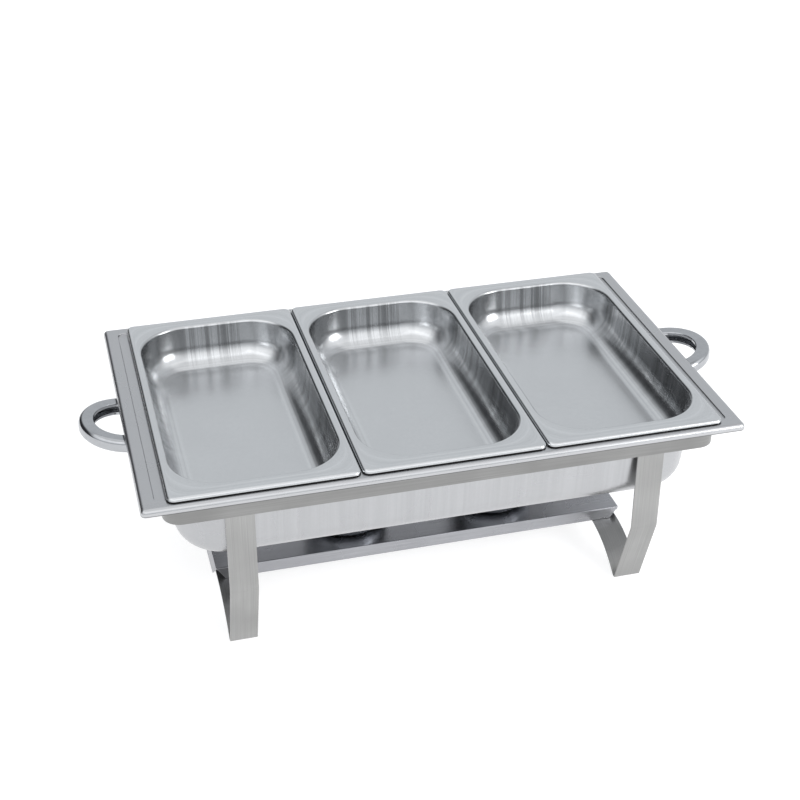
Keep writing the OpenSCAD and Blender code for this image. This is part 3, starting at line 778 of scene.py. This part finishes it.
def damper(name, centre):
    """The damper disc with its boss and finger tab, and the rivet it turns on."""
    low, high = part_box(f"damper_{name}")
    gauge = high.z - low.z
    bm = bmesh.new()
    disc = bmesh.ops.create_circle(bm, cap_ends=False, radius=DAMPER_R, segments=64)["verts"]
    for vert in disc:
        if vert.co.x > 0 and abs(vert.co.y) < BOSS_R:
            vert.co.x = PIVOT_X + math.sqrt(max(BOSS_R ** 2 - vert.co.y ** 2, 0))
        elif vert.co.x < 0 and abs(vert.co.y) < TAB_R:
            vert.co.x = -TAB_REACH - math.sqrt(max(TAB_R ** 2 - vert.co.y ** 2, 0))
    bmesh.ops.contextual_create(bm, geom=disc)
    bmesh.ops.translate(bm, verts=list(bm.verts), vec=(*centre, high.z))
    bmesh.ops.recalc_face_normals(bm, faces=list(bm.faces))
    if next(iter(bm.faces)).normal.z < 0:
        bmesh.ops.reverse_faces(bm, faces=list(bm.faces))
    sheet_piece(f"damper_{name}_pressed", bm, rolled_damper, gauge, f"{name}_damper",
                [f"damper_{name}"], edge=0.2 * MM)
    low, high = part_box(f"damper_rivet_{name}")
    grip_low, grip_high = low.z + 1 * MM, high.z - 1 * MM
    spun_piece(f"damper_rivet_{name}_upset",
               rivet_points(3 * MM, 1.5 * MM, low.z, grip_low, grip_high, high.z),
               (centre[0] + PIVOT_X, centre[1]), upset_rivet, f"{name}_lid",
               [f"damper_rivet_{name}"], steps=32)


for name in ("left", "right"):
    damper(name, fuel_cup(name))

# %% [markdown]
# ## Handle rivets
# Two round-headed rivets hold each handle plate to the band. They are spun upright, then tipped
# over to lie along X.

# %% The handle rivets


def handle_rivets(side, name):
    """Both rivets of one handle as one piece."""
    low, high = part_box(f"handle_rivets_{name}")
    pitch_y = 22 * MM
    middle_z = (low.z + high.z) / 2
    points = rivet_points(4 * MM, 2 * MM, 0, 1.3 * MM, high.x - low.x - 1.3 * MM, high.x - low.x)
    bm = bmesh.new()
    for y in (-pitch_y, pitch_y):
        verts = [bm.verts.new((r, y, z)) for r, z in points]
        edges = [bm.edges.new(pair) for pair in zip(verts, verts[1:] + verts[:1])]
        bmesh.ops.spin(bm, geom=verts + edges, cent=(0, y, 0), axis=(0, 0, 1),
                       angle=2 * math.pi, steps=32, use_merge=True)
    bmesh.ops.remove_doubles(bm, verts=list(bm.verts), dist=1e-6)
    bmesh.ops.dissolve_degenerate(bm, edges=list(bm.edges), dist=1e-7)
    bmesh.ops.rotate(bm, verts=list(bm.verts), cent=(0, 0, 0),
                     matrix=Matrix.Rotation(math.radians(90 * side), 3, "Y"))
    bmesh.ops.translate(bm, verts=list(bm.verts),
                        vec=(low.x if side > 0 else high.x, 0, middle_z))
    bmesh.ops.recalc_face_normals(bm, faces=list(bm.faces))
    sheet_piece(f"handle_rivets_{name}_upset", bm, upset_rivet, 0, "stand",
                [f"handle_rivets_{name}"], edge=0)


for side, name in ((-1, "left"), (1, "right")):
    handle_rivets(side, name)

# %% [markdown]
# ## Floor and light
# Bright metal shows its surroundings more than its own colour. The floor is pale and plain. The
# world is a pale room with a bright bank high in front of the dish, which draws a white line
# along every rolled edge, and a dark gap behind it on the left, which shades the pan walls that
# face that way. Only reflections see the bank and the gap: the backdrop itself stays plain.

# %% The floor
FLOOR_SIZE = 80.0
bm = bmesh.new()
bmesh.ops.create_grid(bm, x_segments=1, y_segments=1, size=FLOOR_SIZE / 2)
floor_mesh = bpy.data.meshes.new("floor")
bm.to_mesh(floor_mesh)
bm.free()
floor = bpy.data.objects.new("floor", floor_mesh)
bpy.context.scene.collection.objects.link(floor)
floor_material = bpy.data.materials.new("matt_white_floor")
floor_material.use_nodes = True
floor_shader = floor_material.node_tree.nodes["Principled BSDF"]
floor_shader.inputs["Base Color"].default_value = linear("#AFAFB0")
floor_shader.inputs["Roughness"].default_value = 0.9
floor_shader.inputs["Emission Color"].default_value = linear("#FFFFFF")
floor_shader.inputs["Emission Strength"].default_value = 0.75
floor_mesh.materials.append(floor_material)

# %% The world and the lights
world = bpy.data.worlds.new("studio")
world.use_nodes = True
bpy.context.scene.world = world
tree = world.node_tree
direction = add_node(tree, "ShaderNodeTexCoord").outputs["Generated"]
parts = add_node(tree, "ShaderNodeSeparateXYZ", Vector=direction)
towards_gap = add_node(tree, "ShaderNodeVectorMath", {"operation": "DOT_PRODUCT"},
                       _0=direction, _1=(-0.80, 0.60, 0.0))
gap = add_node(tree, "ShaderNodeMapRange", {"interpolation_type": "SMOOTHSTEP"},
               Value=towards_gap.outputs["Value"], From_Min=0.56, From_Max=0.84)
in_front = add_node(tree, "ShaderNodeMapRange", {"interpolation_type": "SMOOTHSTEP"},
                    Value=parts.outputs[1], From_Min=0.25, From_Max=-0.35)
raised = add_node(tree, "ShaderNodeMapRange", {"interpolation_type": "SMOOTHSTEP"},
                  Value=parts.outputs[2], From_Min=0.2, From_Max=0.55)
overhead = add_node(tree, "ShaderNodeMapRange", {"interpolation_type": "SMOOTHSTEP"},
                    Value=parts.outputs[2], From_Min=0.75, From_Max=0.95)
front_bank = add_node(tree, "ShaderNodeMath", {"operation": "MULTIPLY"}, _0=in_front.outputs[0],
                      _1=raised.outputs[0])
room = add_node(tree, "ShaderNodeMix", {"data_type": "RGBA"}, _0=gap.outputs[0],
                _6=linear("#E6E9EC"), _7=linear("#3C3D40"))
sky = add_node(tree, "ShaderNodeMix", {"data_type": "RGBA"}, _0=front_bank.outputs[0],
               _6=room.outputs[2], _7=(1.50, 1.51, 1.53, 1.0))
canopy = add_node(tree, "ShaderNodeMix", {"data_type": "RGBA"}, _0=overhead.outputs[0],
                  _6=sky.outputs[2], _7=linear("#C6C7C9"))
seen = add_node(tree, "ShaderNodeLightPath").outputs["Is Camera Ray"]
backdrop = add_node(tree, "ShaderNodeMix", {"data_type": "RGBA"}, _0=seen,
                    _6=canopy.outputs[2], _7=linear("#F4F4F5"))
background = tree.nodes["Background"]
tree.links.new(backdrop.outputs[2], background.inputs["Color"])
background.inputs["Strength"].default_value = 1.0


def softbox(name, place, size, power):
    """A square area light at a place, facing the dish."""
    data = bpy.data.lights.new(name, "AREA")
    data.size = size
    data.energy = power
    light = bpy.data.objects.new(name, data)
    light.location = place
    light.rotation_euler = (Vector((0, 0, 0.1)) - Vector(place)).to_track_quat(
        "-Z", "Y").to_euler()
    bpy.context.scene.collection.objects.link(light)
    return light


softbox("overhead_softbox", (-0.3, -0.2, 2.2), 2.6, 12)
softbox("right_softbox", (1.5, -1.3, 0.9), 0.9, 22)
bpy.context.scene.view_settings.view_transform = "Standard"
